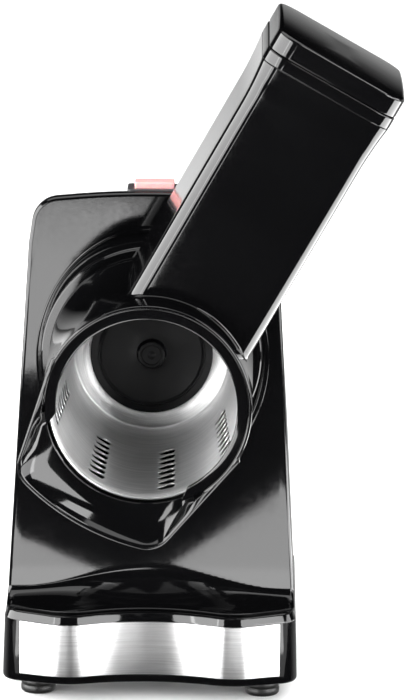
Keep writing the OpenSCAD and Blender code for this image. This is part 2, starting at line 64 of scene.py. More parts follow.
AXIS_Z = AXIS.z / MM
BODY_TOP = span("front_cover", 2, 1)
BODY_DEPTH = span("rear_cover", 1, 1)
SEAM_Y = span("front_cover", 1, 1)
LOW_HALF_W = span("rear_cover", 0, 1)
TOP_HALF_W = 59.5  # of the body, where it is narrowest
PLINTH_TOP = span("plinth", 2, 1)
PLINTH_LOW = span("plinth", 2, 0)
PLINTH_HALF_W = span("plinth", 0, 1)
SOCKET_FRONT = span("socket_collar", 1, 0)
SOCKET_R = span("socket_collar", 0, 1)
HEAD_FRONT = span("spout_ring", 1, 0)
RING_BACK = span("spout_ring", 1, 1)
CHUTE_FRONT = span("feed_chute", 1, 0)
CHUTE_BACK = span("feed_chute", 1, 1)
CHUTE_MID = (CHUTE_FRONT + CHUTE_BACK) / 2
BARREL_R = 49.0
BARREL_IN_R = 47.0


def in_body(p):
    return (AXIS.x + p[0] * MM, PLATE_Y + p[1] * MM, p[2] * MM)


def on_axis(p):
    return in_body((p[0], p[1], AXIS_Z + p[2]))


def on_head(p):
    c, s = math.cos(TILT), math.sin(TILT)
    return on_axis((p[0] * c + p[2] * s, p[1], -p[0] * s + p[2] * c))


# ---- mesh helpers ----
class Surface:
    """Points in millimetres and faces between them, gathered before they become one object."""

    def __init__(self):
        self.points, self.faces = [], []

    def ring(self, points):
        start = len(self.points)
        self.points += [tuple(p) for p in points]
        return list(range(start, len(self.points)))

    def bridge(self, a, b, closed=True):
        count = len(a)
        for i in range(count if closed else count - 1):
            j = (i + 1) % count
            self.faces.append((a[i], a[j], b[j], b[i]))

    def loft(self, rings, closed=True):
        made = [self.ring(r) for r in rings]
        for a, b in zip(made, made[1:]):
            self.bridge(a, b, closed)
        return made

    def fill(self, ring):
        self.faces.append(tuple(ring))

    def capped(self, rings):
        """Rings joined in order, with a face over the first and the last."""
        made = self.loft(rings)
        self.fill(made[0])
        self.fill(made[-1])

    def tube(self, rings):
        """Rings joined in order, and the last to the first."""
        made = self.loft(rings)
        self.bridge(made[-1], made[0])


def make(surface, name, place, body, material, replaces, sharp=32):
    """Turns a surface into an object on a body, smooth apart from edges sharper than sharp degrees."""
    mesh = bpy.data.meshes.new(name)
    mesh.from_pydata([place(p) for p in surface.points], [], surface.faces)
    work = bmesh.new()
    work.from_mesh(mesh)
    bmesh.ops.remove_doubles(work, verts=work.verts, dist=0.00001)
    bmesh.ops.dissolve_degenerate(work, edges=work.edges, dist=0.000005)
    bmesh.ops.recalc_face_normals(work, faces=work.faces)
    work.to_mesh(mesh)
    work.free()
    mesh.polygons.foreach_set("use_smooth", [True] * len(mesh.polygons))
    mesh.set_sharp_from_angle(angle=math.radians(sharp))
    piece = bpy.data.objects.new(name, mesh)
    bpy.context.scene.collection.objects.link(piece)
    piece.data.materials.append(material)
    weighted = piece.modifiers.new("weighted normals", "WEIGHTED_NORMAL")
    weighted.keep_sharp = True
    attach(piece, body)
    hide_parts(*replaces)
    return piece


def cut(piece, surface, place):
    """Cuts closed surfaces out of a piece and keeps the result as its mesh."""
    tool_mesh = bpy.data.meshes.new("cutter")
    tool_mesh.from_pydata([place(p) for p in surface.points], [], surface.faces)
    work = bmesh.new()
    work.from_mesh(tool_mesh)
    bmesh.ops.recalc_face_normals(work, faces=work.faces)
    work.to_mesh(tool_mesh)
    work.free()
    tool = bpy.data.objects.new("cutter", tool_mesh)
    bpy.context.scene.collection.objects.link(tool)
    boolean = piece.modifiers.new("cut", "BOOLEAN")
    boolean.object = tool
    boolean.operation = "DIFFERENCE"
    boolean.solver = "EXACT"
    for modifier in [m for m in piece.modifiers if m.type == "WEIGHTED_NORMAL"]:
        piece.modifiers.remove(modifier)
    graph = bpy.context.evaluated_depsgraph_get()
    result = bpy.data.meshes.new_from_object(piece.evaluated_get(graph))
    piece.modifiers.clear()
    piece.data = result
    result.polygons.foreach_set("use_smooth", [True] * len(result.polygons))
    result.set_sharp_from_angle(angle=math.radians(32))
    bpy.data.objects.remove(tool)


def turns(count):
    """Evenly spaced angles once round."""
    return [2 * math.pi * i / count for i in range(count)]


def arc(cx, cy, r, a0, a1, n):
    """n + 1 points along an arc, with angles in degrees."""
    angles = [math.radians(a0 + (a1 - a0) * i / n) for i in range(n + 1)]
    return [(cx + r * math.cos(a), cy + r * math.sin(a)) for a in angles]


def rounded_rect(hx, hy, r, n=8, side=4):
    """A closed loop with round corners and a few points along each side."""
    loop = []
    corners = [(hx, hy, 0), (-hx, hy, 90), (-hx, -hy, 180), (hx, -hy, 270)]
    for k, (x, y, a) in enumerate(corners):
        cx, cy = x - math.copysign(r, x), y - math.copysign(r, y)
        points = arc(cx, cy, r, a, a + 90, n)
        loop += points
        nx, ny, na = corners[(k + 1) % 4]
        x1, y1 = arc(nx - math.copysign(r, nx), ny - math.copysign(r, ny), r, na, na, 1)[0]
        x0, y0 = points[-1]
        loop += [(x0 + (x1 - x0) * i / side, y0 + (y1 - y0) * i / side) for i in range(1, side)]
    return loop


def turned(profile, angles):
    """Rings of (radius, y) points turned about the drum axis."""
    return [[(r * math.cos(a), y, r * math.sin(a)) for a in angles] for r, y in profile]


def smooth_step(t):
    t = min(1.0, max(0.0, t))
    return t * t * (3 - 2 * t)


def thicken(piece, thickness):
    """Gives an open skin a wall on its inner side."""
    solid = piece.modifiers.new("wall", "SOLIDIFY")
    solid.thickness = thickness * MM
    solid.offset = -1


# ---- materials ----
def new_material(name):
    material = bpy.data.materials.new(name)
    material.use_nodes = True
    tree = material.node_tree
    shader = tree.nodes["Principled BSDF"]
    where = tree.nodes.new("ShaderNodeTexCoord")
    return material, tree, shader, where.outputs["Object"]


def noise(tree, vector, scale, detail=4.0, rough=0.5, stretch=None):
    """A noise texture's value, with scale in features per metre and an optional stretch per axis."""
    if stretch:
        mapping = tree.nodes.new("ShaderNodeMapping")
        mapping.inputs["Scale"].default_value = stretch
        tree.links.new(vector, mapping.inputs["Vector"])
        vector = mapping.outputs["Vector"]
    node = tree.nodes.new("ShaderNodeTexNoise")
    node.inputs["Scale"].default_value = scale
    node.inputs["Detail"].default_value = detail
    node.inputs["Roughness"].default_value = rough
    tree.links.new(vector, node.inputs["Vector"])
    return node.outputs["Fac"]


def remap(tree, value, low, high, start=0.3, end=0.7):
    """Maps a value from start..end to low..high."""
    node = tree.nodes.new("ShaderNodeMapRange")
    node.inputs["From Min"].default_value = start
    node.inputs["From Max"].default_value = end
    node.inputs["To Min"].default_value = low
    node.inputs["To Max"].default_value = high
    tree.links.new(value, node.inputs["Value"])
    return node.outputs["Result"]


def colour_between(tree, value, a, b):
    node = tree.nodes.new("ShaderNodeMix")
    node.data_type = "RGBA"
    node.inputs["A"].default_value = (*a, 1)
    node.inputs["B"].default_value = (*b, 1)
    tree.links.new(value, node.inputs["Factor"])
    return node.outputs["Result"]


def bump(tree, shader, height, distance, under=None):
    """Adds relief of a depth in metres to a shader, over earlier relief if there is any."""
    node = tree.nodes.new("ShaderNodeBump")
    node.inputs["Distance"].default_value = distance
    node.inputs["Strength"].default_value = 1
    tree.links.new(height, node.inputs["Height"])
    if under is not None:
        tree.links.new(under, node.inputs["Normal"])
    tree.links.new(node.outputs["Normal"], shader.inputs["Normal"])
    return node.outputs["Normal"]


def multiply(tree, a, b):
    node = tree.nodes.new("ShaderNodeMath")
    node.operation = "MULTIPLY"
    tree.links.new(a, node.inputs[0])
    tree.links.new(b, node.inputs[1])
    return node.outputs[0]


def piano_black():
    """Polished black plastic: faint flow waves, fine haze and a few rubbed patches."""
    material, tree, shader, where = new_material("piano_black")
    cloud = noise(tree, where, 14, 3)
    haze = noise(tree, where, 420, 6, 0.7)
    rubbed = remap(tree, multiply(tree, cloud, haze), 0.035, 0.10, 0.12, 0.42)
    tree.links.new(rubbed, shader.inputs["Roughness"])
    tree.links.new(colour_between(tree, cloud, (0.0008, 0.0008, 0.0009), (0.0018, 0.0018, 0.002)),
                   shader.inputs["Base Color"])
    waves = bump(tree, shader, noise(tree, where, 30, 1), 0.00006)
    bump(tree, shader, noise(tree, where, 1500, 2), 0.0000025, under=waves)
    shader.inputs["IOR"].default_value = 1.5
    return material


def moulded(name, colour, roughness, grain=0.00002, specular=0.5):
    """Moulded or pressed material with a fine even grain."""
    material, tree, shader, where = new_material(name)
    patch = noise(tree, where, 60, 5, 0.6)
    tree.links.new(remap(tree, patch, roughness - 0.07, roughness + 0.08), shader.inputs["Roughness"])
    darker = tuple(0.75 * c for c in colour)
    tree.links.new(colour_between(tree, patch, darker, colour), shader.inputs["Base Color"])
    bump(tree, shader, noise(tree, where, 3000, 3, 0.65), grain)
    shader.inputs["Specular IOR Level"].default_value = specular
    return material


def vector_math(tree, operation, a, b=None, value=None):
    node = tree.nodes.new("ShaderNodeVectorMath")
    node.operation = operation
    tree.links.new(a, node.inputs[0])
    if b is not None:
        tree.links.new(b, node.inputs[1])
    if value is not None:
        node.inputs[1].default_value = value
    return node


def brushed_steel(name, around_axis, tone, roughness, anisotropy):
    """Stainless steel with long fine scratches, along X or in circles about the drum axis."""
    material, tree, shader, where = new_material(name)
    if around_axis:
        centred = vector_math(tree, "SUBTRACT", where, value=(AXIS.x, 0, AXIS.z)).outputs["Vector"]
        flat = vector_math(tree, "MULTIPLY", centred, value=(1, 0, 1)).outputs["Vector"]
        radius = vector_math(tree, "LENGTH", flat).outputs["Value"]
        outward = vector_math(tree, "NORMALIZE", flat).outputs["Vector"]
        across_grain = vector_math(tree, "ADD", outward, value=(0, 1, 0)).outputs["Vector"]
        parts = tree.nodes.new("ShaderNodeSeparateXYZ")
        tree.links.new(where, parts.inputs["Vector"])
        joined = tree.nodes.new("ShaderNodeCombineXYZ")
        tree.links.new(radius, joined.inputs["X"])
        tree.links.new(parts.outputs["Y"], joined.inputs["Y"])
        lines = noise(tree, joined.outputs["Vector"], 2400, 3, 0.7)
        broken = noise(tree, where, 60, 4, 0.6, (1, 9, 1))
    else:
        upright = tree.nodes.new("ShaderNodeCombineXYZ")
        upright.inputs["Z"].default_value = 1
        across_grain = upright.outputs["Vector"]
        lines = noise(tree, where, 2400, 3, 0.7, (0.01, 0.01, 1))
        broken = noise(tree, where, 40, 4, 0.6, (1, 1, 30))
    tangent = tree.nodes.new("ShaderNodeVectorTransform")
    tangent.vector_type = "VECTOR"
    tangent.convert_from = "OBJECT"
    tangent.convert_to = "WORLD"
    tree.links.new(across_grain, tangent.inputs["Vector"])
    tree.links.new(tangent.outputs["Vector"], shader.inputs["Tangent"])
    scratches = multiply(tree, lines, remap(tree, broken, 0.8, 1.2))
    rough = remap(tree, scratches, roughness - 0.06, roughness + 0.06)
    tree.links.new(rough, shader.inputs["Roughness"])
    dark, light = (tone * 0.8,) * 3, (min(1.0, tone * 1.2),) * 3
    shade = colour_between(tree, remap(tree, scratches, 0, 1), dark, light)
    tree.links.new(shade, shader.inputs["Base Color"])
    bump(tree, shader, scratches, 0.000012)
    shader.inputs["Metallic"].default_value = 1
    shader.inputs["Anisotropic"].default_value = anisotropy
    return material


def metal(name, colour, roughness):
    """Plain machined or drawn metal with faint tool marks and tarnish."""
    material, tree, shader, where = new_material(name)
    marks = noise(tree, where, 900, 3, 0.6, (1, 0.1, 1))
    stain = noise(tree, where, 45, 4, 0.6)
    tree.links.new(remap(tree, marks, roughness - 0.08, roughness + 0.1), shader.inputs["Roughness"])
    dark = tuple(0.7 * c for c in colour)
    tarnish = colour_between(tree, remap(tree, stain, 0, 1), colour, dark)
    tree.links.new(tarnish, shader.inputs["Base Color"])
    bump(tree, shader, marks, 0.000006)
    shader.inputs["Metallic"].default_value = 1
    return material


def red_button_plastic():
    """Clear red cap over a pale light guide."""
    material, tree, shader, where = new_material("red_clear")
    cloud = noise(tree, where, 260, 3)
    tree.links.new(colour_between(tree, cloud, (0.80, 0.36, 0.35), (0.88, 0.46, 0.45)),
                   shader.inputs["Base Color"])
    tree.links.new(remap(tree, noise(tree, where, 900, 4), 0.12, 0.22), shader.inputs["Roughness"])
    bump(tree, shader, noise(tree, where, 400, 2), 0.00001)
    shader.inputs["Subsurface Weight"].default_value = 0.35
    shader.inputs["Subsurface Scale"].default_value = 0.003
    shader.inputs["Transmission Weight"].default_value = 0.15
    return material


def rubber():
    """Matt black rubber with dust in its pores."""
    material, tree, shader, where = new_material("rubber_black")
    pores = noise(tree, where, 1800, 5, 0.7)
    tree.links.new(remap(tree, pores, 0.3, 0.5), shader.inputs["Roughness"])
    dusty = colour_between(tree, remap(tree, pores, 0, 1), (0.004, 0.004, 0.004), (0.012, 0.012, 0.011))
    tree.links.new(dusty, shader.inputs["Base Color"])
    bump(tree, shader, pores, 0.00005)
    return material


def white_floor():
    """Plain pale studio floor with a very faint mottle."""
    material, tree, shader, where = new_material("pale_floor")
    mottle = noise(tree, where, 6, 2)
    tree.links.new(colour_between(tree, mottle, (0.88, 0.88, 0.88), (0.91, 0.91, 0.91)),
                   shader.inputs["Base Color"])
    shader.inputs["Roughness"].default_value = 0.9
    return material


BLACK = piano_black()
TRIM_BLACK = moulded("satin_black", (0.03, 0.03, 0.032), 0.42)
HUB_BLACK = moulded("hub_black", (0.0045, 0.0045, 0.005), 0.34, 0.000008, 0.18)
BAND_STEEL = brushed_steel("brushed_steel_band", False, 0.72, 0.36, 1.0)
DRUM_STEEL = brushed_steel("brushed_steel_drum", True, 0.66, 0.34, 0.9)
SCREW_STEEL = metal("bright_steel", (0.62, 0.62, 0.62), 0.28)
RED = red_button_plastic()
RUBBER = rubber()


# ---- body shell ----
CORNER_R = 13.5  # top corners, seen from the front
CROWN = 2.6  # rise of the top edge over its width
WALL = 2.0
# the front plate: where it starts to lean back, and by how much at its top
LEAN_START = 150.0
LEAN = 3.0
# the sweep from the plate out to the ledge: its top on the centre line and at the sides
SWEEP_TOP_MIDDLE = 66.0
SWEEP_TOP_SIDE = 54.0
SWEEP_SIDE_X = 62.0
SWEEP_FOOT = PLINTH_TOP + 1.5
SWEEP_WAVE = 1.15  # share of the plinth's wave at the sweep's foot
LEDGE_SET = 3.6  # how far the sweep's foot stands back from the plinth
# rows of points up to SWEEP_END, and from there to the top corners
SWEEP_STEPS, PLATE_STEPS = 44, 16
SWEEP_END = 80.0
# the roof: level, then sloping down, then rounded into the back
SLOPE_START = 8.0
TOP_SLOPE = math.radians(15)
BACK_R = 36.0
SQUEEZE_LOW = 120.0  # height above which the sides follow the roof down
BACK_EDGE_R = 20.0
# the plinth's wavy front
PLINTH_FRONT = 19.0
WAVE = 8.0
BUMP_X = 41.0
BUMP_HALF_W = 10.0


def half_width(z):
    return LOW_HALF_W + (TOP_HALF_W - LOW_HALF_W) * (z - PLINTH_TOP) / (BODY_TOP - PLINTH_TOP)


def wavy_front(x, share):
    """Front of the plinth: a broad hollow between two tight bumps, at a share of its full depth."""
    slope = 2 * WAVE / BUMP_X
    bend = BUMP_X - BUMP_HALF_W
    a = abs(x)
    if a < bend:
        proud = slope * a * a / bend / 2
    elif a < BUMP_X + BUMP_HALF_W:
        proud = WAVE - slope * (a - BUMP_X) ** 2 / BUMP_HALF_W / 2
    else:
        proud = WAVE - slope * (a - BUMP_X - BUMP_HALF_W / 2)
    return -PLINTH_FRONT - WAVE / 2 - (proud - WAVE / 2) * share


def plate_y(x, z):
    """The front plate: leaning back a little at its top, swept out to the wavy ledge below."""
    if z > LEAN_START:
        return LEAN * ((z - LEAN_START) / (BODY_TOP - LEAN_START)) ** 2
    start = SWEEP_TOP_MIDDLE + (SWEEP_TOP_SIDE - SWEEP_TOP_MIDDLE) * smooth_step(abs(x) / SWEEP_SIDE_X)
    t = (start - z) / (start - SWEEP_FOOT)
    if t <= 0:
        return 0.0
    return (wavy_front(x, SWEEP_WAVE) + LEDGE_SET) * (1 - max(0.0, 1 - t * t) ** 0.5)


def roof_z(y):
    """Height of the shell's top at a distance behind the plate."""
    centre_y = BODY_DEPTH - BACK_R
    centre_z = BODY_TOP - (centre_y - SLOPE_START) * math.tan(TOP_SLOPE) - BACK_R / math.cos(TOP_SLOPE)
    tangent_y = centre_y + BACK_R * math.sin(TOP_SLOPE)
    if y < SLOPE_START:
        return BODY_TOP
    if y < tangent_y:
        bend = smooth_step((y - SLOPE_START) / 10) * 0.5 + 0.5
        return BODY_TOP - (y - SLOPE_START) * math.tan(TOP_SLOPE) * bend
    return centre_z + math.sqrt(max(0.0, BACK_R ** 2 - (min(y, BODY_DEPTH) - centre_y) ** 2))


def shell_outline(inset):
    """Front view of the shell from its low left corner over the top to its low right corner."""
    last = SWEEP_STEPS - 1
    heights = [PLINTH_TOP] + [SWEEP_FOOT + (SWEEP_END - SWEEP_FOOT) * (i / last) ** 2 for i in range(last)]
    corner_z = BODY_TOP - CROWN - CORNER_R
    heights += [SWEEP_END + (corner_z - SWEEP_END) * i / PLATE_STEPS for i in range(PLATE_STEPS)]
    r = CORNER_R - inset
    edge = half_width(BODY_TOP) - CORNER_R
    right = [(half_width(z) - inset, z) for z in heights] + arc(edge, corner_z, r, 3, 84, 12)
    top = [(edge * (1 - i / 8), BODY_TOP - inset - CROWN * (1 - i / 8) ** 2) for i in range(1, 8)]
    half = right + top
    return [(-x, z) for x, z in half] + [(0, BODY_TOP - inset)] + half[::-1]


def squeezed(z, y):
    """A height on the shell's outline, brought down to follow the roof at y."""
    share = (roof_z(y) - SQUEEZE_LOW) / (BODY_TOP - SQUEEZE_LOW)
    return SQUEEZE_LOW + (z - SQUEEZE_LOW) * share if z > SQUEEZE_LOW else z


def front_shell_point(x, z, depth):
    """Puts an outline point at a depth behind the local front, measured so that all meet at the seam."""
    front = plate_y(x, z)
    y = front + depth * (SEAM_Y - front) / SEAM_Y
    return (x, y, squeezed(z, y))


def front_cover():
    """Front cover: plate, swept foot, rounded edge and a shallow groove round the side."""
    s = Surface()
    steps = [(0, 1.9), (0.12, 1.35), (0.45, 0.75), (0.95, 0.32), (1.7, 0.06), (2.4, 0), (3.4, 0),
             (3.55, 0.55), (4.15, 0.55), (4.3, 0), (6, 0), (8, 0), (11, 0), (15, 0), (20, 0), (26, 0),
             (33, 0), (SEAM_Y - 0.5, 0), (SEAM_Y - 0.15, 0.25)]
    rings = s.loft([[front_shell_point(x, z, depth) for x, z in shell_outline(inset)]
                    for depth, inset in steps], closed=False)
    # the plate, in rows across from the outline's left side to its right
    first = rings[0]
    count = len(first)
    heights = [z for x, z in shell_outline(steps[0][1])]
    rows = SWEEP_STEPS + PLATE_STEPS
    across = 40
    last_row = None
    for k in range(rows):
        left, right = first[k], first[count - 1 - k]
        x0, z = s.points[left][0], heights[k]
        inner = [(x0 + (-2 * x0) * i / across) for i in range(1, across)]
        row = [left] + s.ring([(x, plate_y(x, z), z) for x in inner]) + [right]
        if last_row:
            s.bridge(last_row, row, closed=False)
        last_row = row
    s.fill(last_row + [first[i] for i in range(count - rows - 1, rows - 1, -1)])
    piece = make(s, "body_front", in_body, "root", BLACK, ("front_cover",), sharp=40)
    thicken(piece, WALL)


def rear_cover():
    """Rear cover: carries on from the seam, rounds over the top and sides, with slots in its back."""
    s = Surface()
    start, edge = SEAM_Y + 0.15, BODY_DEPTH - BACK_EDGE_R
    steps = [(start, 0.25), (start + 0.35, 0)]
    steps += [(start + (edge - start) * i / 14, 0) for i in range(1, 15)]
    steps += [(edge + BACK_EDGE_R * math.sin(a), BACK_EDGE_R * (1 - math.cos(a)))
              for a in [math.radians(6 * i) for i in range(1, 16)]]
    rings = s.loft([[(x * (1 - inset / LOW_HALF_W), y, squeezed(z, y)) for x, z in shell_outline(0)]
                    for y, inset in steps], closed=False)
    last = rings[-1]
    count = len(last)
    for i in range(count // 2 - 1):
        s.faces.append((last[i], last[i + 1], last[count - 2 - i], last[count - 1 - i]))
    piece = make(s, "body_rear", in_body, "root", BLACK, ("rear_cover",), sharp=40)
    thicken(piece, WALL)
    vents = Surface()
    lowest, pitch = 93.75, 9
    for i in range(7):
        vents.capped([[(x, y, lowest + pitch * i + z) for x, z in rounded_rect(26, 1.75, 1.7, 6, 2)]
                      for y in (BODY_DEPTH - 8, BODY_DEPTH + 4)])
    cut(piece, vents, in_body)


# ---- plinth ----
FRONT_CORNER_R = 10.5
REAR_CORNER_R = 16.0
BAND_LOW = span("steel_band", 2, 0)
BAND_HIGH = span("steel_band", 2, 1)
BAND_HALF_W = span("steel_band", 0, 1)
PLINTH_TOP_HALF_W = 71.7
# where the wavy front meets its corner arcs
CORNER_START = 270 + math.degrees(math.atan(2 * WAVE / BUMP_X))
CORNER_X = PLINTH_HALF_W - FRONT_CORNER_R
FRONT_END_X = CORNER_X + FRONT_CORNER_R * math.cos(math.radians(CORNER_START))


def wave_share(z):
    """The wave is deepest at the top of the plinth."""
    return 0.82 + 0.36 * (z - PLINTH_LOW) / (PLINTH_TOP - PLINTH_LOW)


def plan_outline(inset, z):
    """Plan view of the plinth at a height, anticlockwise from its front right corner."""
    share = wave_share(z)
    fy = wavy_front(FRONT_END_X, share) - FRONT_CORNER_R * math.sin(math.radians(CORNER_START))
    rx, ry = PLINTH_HALF_W - REAR_CORNER_R, BODY_DEPTH - REAR_CORNER_R
    fr, rr = FRONT_CORNER_R - inset, REAR_CORNER_R - inset
    loop = arc(CORNER_X, fy, fr, CORNER_START, 360, 14) + arc(rx, ry, rr, 0, 90, 12)
    loop += arc(-rx, ry, rr, 90, 180, 12) + arc(-CORNER_X, fy, fr, 180, 540 - CORNER_START, 14)
    ends = [FRONT_END_X * i / 40 for i in range(-39, 40)]
    loop += [(x, wavy_front(x, share) + inset) for x in ends]
    narrow = 1 - (1 - PLINTH_TOP_HALF_W / PLINTH_HALF_W) * (z - PLINTH_LOW) / (PLINTH_TOP - PLINTH_LOW)
    return [(x * narrow, y) for x, y in loop]


def plinth():
    """Black plinth with rounded ledges and a shallow seat for the steel band."""
    s = Surface()
    seat = 0.9
    base, top = PLINTH_LOW, PLINTH_TOP
    # height, inset, and whether the band's seat is sunk in
    steps = [(base, 6.0, 0), (base, 1.6, 0), (base + 0.35, 0.7, 0), (base + 1.2, 0.12, 0),
             (base + 2.2, 0, 0), (BAND_LOW - 0.25, 0, 0), (BAND_LOW - 0.15, 0, 1), (BAND_HIGH + 0.15, 0, 1),
             (BAND_HIGH + 0.25, 0, 0), (BAND_HIGH + 0.5, 0.04, 0), (BAND_HIGH + 0.9, 0.15, 0),
             (top - 1.0, 1.2, 0), (top - 0.5, 1.5, 0), (top - 0.1, 2.3, 0), (top - 0.05, 4.2, 0),
             (top - 0.05, 9.0, 0)]

    def ring(z, inset, seated):
        outer, inner = plan_outline(inset, z), plan_outline(inset + seat, z)
        return [(*(q if seated and abs(p[0]) < BAND_HALF_W + 0.2 and p[1] < 0 else p), z)
                for p, q in zip(outer, inner)]

    s.capped([ring(*step) for step in steps])
    make(s, "plinth_shell", in_body, "root", BLACK, ("plinth",), sharp=50)


def steel_band():
    """Brushed steel strip bent along the plinth's wavy front."""
    s = Surface()
    edge = 0.25
    count = 72

    def line(inset, z, trim):
        reach = BAND_HALF_W - trim
        xs = [reach * (2 * i / count - 1) for i in range(count + 1)]
        return [(x, wavy_front(x, wave_share(z)) + inset, z) for x in xs]

    low, high = BAND_LOW, BAND_HIGH
    middle = [line(0, low + edge + (high - low - 2 * edge) * i / 6, 0) for i in range(7)]
    rings = s.loft([line(0.8, low, edge), line(edge, low, edge)] + middle
                   + [line(edge, high, edge), line(0.8, high, edge)], closed=False)
    s.bridge(rings[-1], rings[0], closed=False)
    for k in (0, -1):
        s.fill([ring[k] for ring in rings])
    make(s, "band_strip", in_body, "root", BAND_STEEL, ("steel_band",), sharp=60)


def rubber_feet():
    """Four round feet with a ribbed side and a rounded tread."""
    s = Surface()
    low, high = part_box("rubber_feet")
    radius = 8.6
    xs = [(low.x - AXIS.x) / MM + radius, (high.x - AXIS.x) / MM - radius]
    ys = [(low.y - PLATE_Y) / MM + radius, (high.y - PLATE_Y) / MM - radius]
    groove = radius - 0.5
    profile = [(3.6, 4.5), (3.6, 0.3), (3.9, 0), (radius - 1.6, 0), (radius - 0.7, 0.25),
               (radius - 0.15, 0.9), (radius, 1.8), (radius, 3.2), (groove, 3.6), (groove, 4.3),
               (radius, 4.7), (radius, 6.2), (groove, 6.6), (groove, 7.3), (radius, 7.7),
               (radius, PLINTH_LOW)]
    for x in xs:
        for y in ys:
            s.capped([[(x + r * math.cos(a), y + r * math.sin(a), z) for a in turns(48)]
                      for r, z in profile])
    make(s, "feet", in_body, "root", RUBBER, ("rubber_feet",), sharp=60)


# ---- socket ----
def socket_collar():
    """Round socket whose bore takes the head's bayonet."""
    s = Surface()
    front = SOCKET_FRONT
    r = SOCKET_R
    profile = [(49.9, -3.5), (49.9, front + 0.8), (50.3, front + 0.2), (51, front), (r - 1.4, front),
               (r - 0.6, front + 0.25), (r - 0.1, front + 0.9), (r, front + 1.8), (r, -2.2), (r + 0.3, -1.2),
               (r + 0.9, -0.4), (r + 1.4, 0), (8, 0), (8, -3.5)]
    s.tube(turned(profile, turns(128)))
    make(s, "socket_ring", on_axis, "root", BLACK, ("socket_collar",))


def oval_bezel():
    """Raised oval rim on the plate, flat in front with rounded edges."""
    s = Surface()
    half_w = span("socket_bezel", 0, 1)
    top, low = span("socket_bezel", 2, 1) - AXIS_Z, span("socket_bezel", 2, 0) - AXIS_Z
    half_h, centre = (top - low) / 2, (top + low) / 2
    section = [(0, 3), (0, -0.85), (0.12, -1.2), (0.45, -1.4), (1.2, -1.4), (2.1, -1.4), (2.85, -1.4),
               (3.18, -1.2), (3.3, -0.85), (3.3, 3)]
    s.tube([[((half_w - inset) * math.cos(a), y, centre + (half_h - inset) * math.sin(a))
             for a in turns(160)] for inset, y in section])
    make(s, "oval_rim", on_axis, "root", BLACK, ("socket_bezel",))


# ---- feed head ----
def head_barrel():
    """Drum barrel with its rear flange, open under the chute."""
    s = Surface()
    back = span("head_barrel", 1, 1)
    flange = span("head_barrel", 0, 1)
    profile = [(BARREL_IN_R, RING_BACK), (BARREL_R, RING_BACK), (BARREL_R, -32.6), (BARREL_R + 0.3, -32.1),
               (flange - 0.6, -32), (flange - 0.1, -31.6), (flange, -31), (flange - 0.1, -30.4),
               (flange - 0.6, -30), (BARREL_R, -30), (BARREL_R, back), (BARREL_IN_R, back)]
    s.tube(turned(profile, turns(160)))
    piece = make(s, "drum_barrel", on_head, "feed_head", BLACK, ("head_barrel",))
    hole = Surface()
    hole.capped([[(x, CHUTE_MID + y, z) for x, y in rounded_rect(28.4, 40.6, 4, 6, 3)] for z in (20, 60)])
    cut(piece, hole, on_head)


# half sizes and heights of the chute and what sits on it, above the drum axis
CHUTE_HX, CHUTE_HY = 31.8, (CHUTE_BACK - CHUTE_FRONT) / 2
CHUTE_TOP = 164.8
CHUTE_R = 6.5
CHUTE_WALL = 2.5
FLARE = 1.75
FLARE_LEN = 24.0
COLLAR_HX, COLLAR_HY = 33.7, CHUTE_HY + 1.5
COLLAR_TOP = CHUTE_TOP + 6.3
COLLAR_INSET = 3.95
CAP_LOW = CHUTE_TOP + 6.6
CAP_HX, CAP_HY, CAP_H = 33.5, COLLAR_HY + 0.5, 10.6


def chute_loop(grow, height):
    """A loop round the chute, grown outwards, at a height given by a function of x.

    The flare grows mostly to the sides and only a little to the front and back.
    """
    r = CHUTE_R + grow if grow > -CHUTE_R + 1 else 1.0
    half_y = CHUTE_HY + (0.35 * grow if grow > 0.6 else grow)
    return [(x, CHUTE_MID + y, height(x)) for x, y in rounded_rect(CHUTE_HX + grow, half_y, r, 10, 14)]


def feed_chute():
    """Chute that sits on the barrel with a small fillet and flares into the collar."""
    s = Surface()

    def saddle(lift):
        return lambda x: math.sqrt((BARREL_R + lift) ** 2 - min(abs(x), CHUTE_HX + 0.6) ** 2)

    def blend(lift, t):
        return lambda x: saddle(lift)(x) * (1 - t) + (60 + lift) * t

    outer = [chute_loop(0.55, saddle(0.02)), chute_loop(0.2, saddle(0.35)), chute_loop(0.04, saddle(0.9)),
             chute_loop(0, saddle(1.8)), chute_loop(0, blend(2, 0.4)), chute_loop(0, blend(4, 1.0))]
    outer += [chute_loop(0, lambda x, z=z: z) for z in (90, 115, CHUTE_TOP - FLARE_LEN)]
    outer += [chute_loop(FLARE * (i / 8) ** 2, lambda x, i=i: CHUTE_TOP - FLARE_LEN * (1 - i / 8))
              for i in range(1, 9)]
    inner = [chute_loop(-CHUTE_WALL, lambda x: CHUTE_TOP), chute_loop(-CHUTE_WALL, lambda x: 70),
             chute_loop(-CHUTE_WALL, saddle(0.02))]
    s.tube(outer + inner)
    make(s, "chute", on_head, "feed_head", BLACK, ("feed_chute",), sharp=45)


def chute_collar():
    """Rounded rectangular rim on top of the chute with eased edges."""
    s = Surface()
    edge = 0.8
    low, high = CHUTE_TOP, COLLAR_TOP
    steps = [(-COLLAR_INSET, low), (-edge, low), (-0.25 * edge, low + 0.3 * edge), (0, low + edge),
             (0, high - edge), (-0.25 * edge, high - 0.3 * edge), (-edge, high), (-COLLAR_INSET, high)]
    s.tube([[(x, CHUTE_MID + y, z) for x, y in
             rounded_rect(COLLAR_HX + grow, COLLAR_HY + grow, max(1.5, 10.2 + grow), 14, 14)]
            for grow, z in steps])
    make(s, "chute_rim", on_head, "feed_head", BLACK, ("chute_collar",), sharp=50)


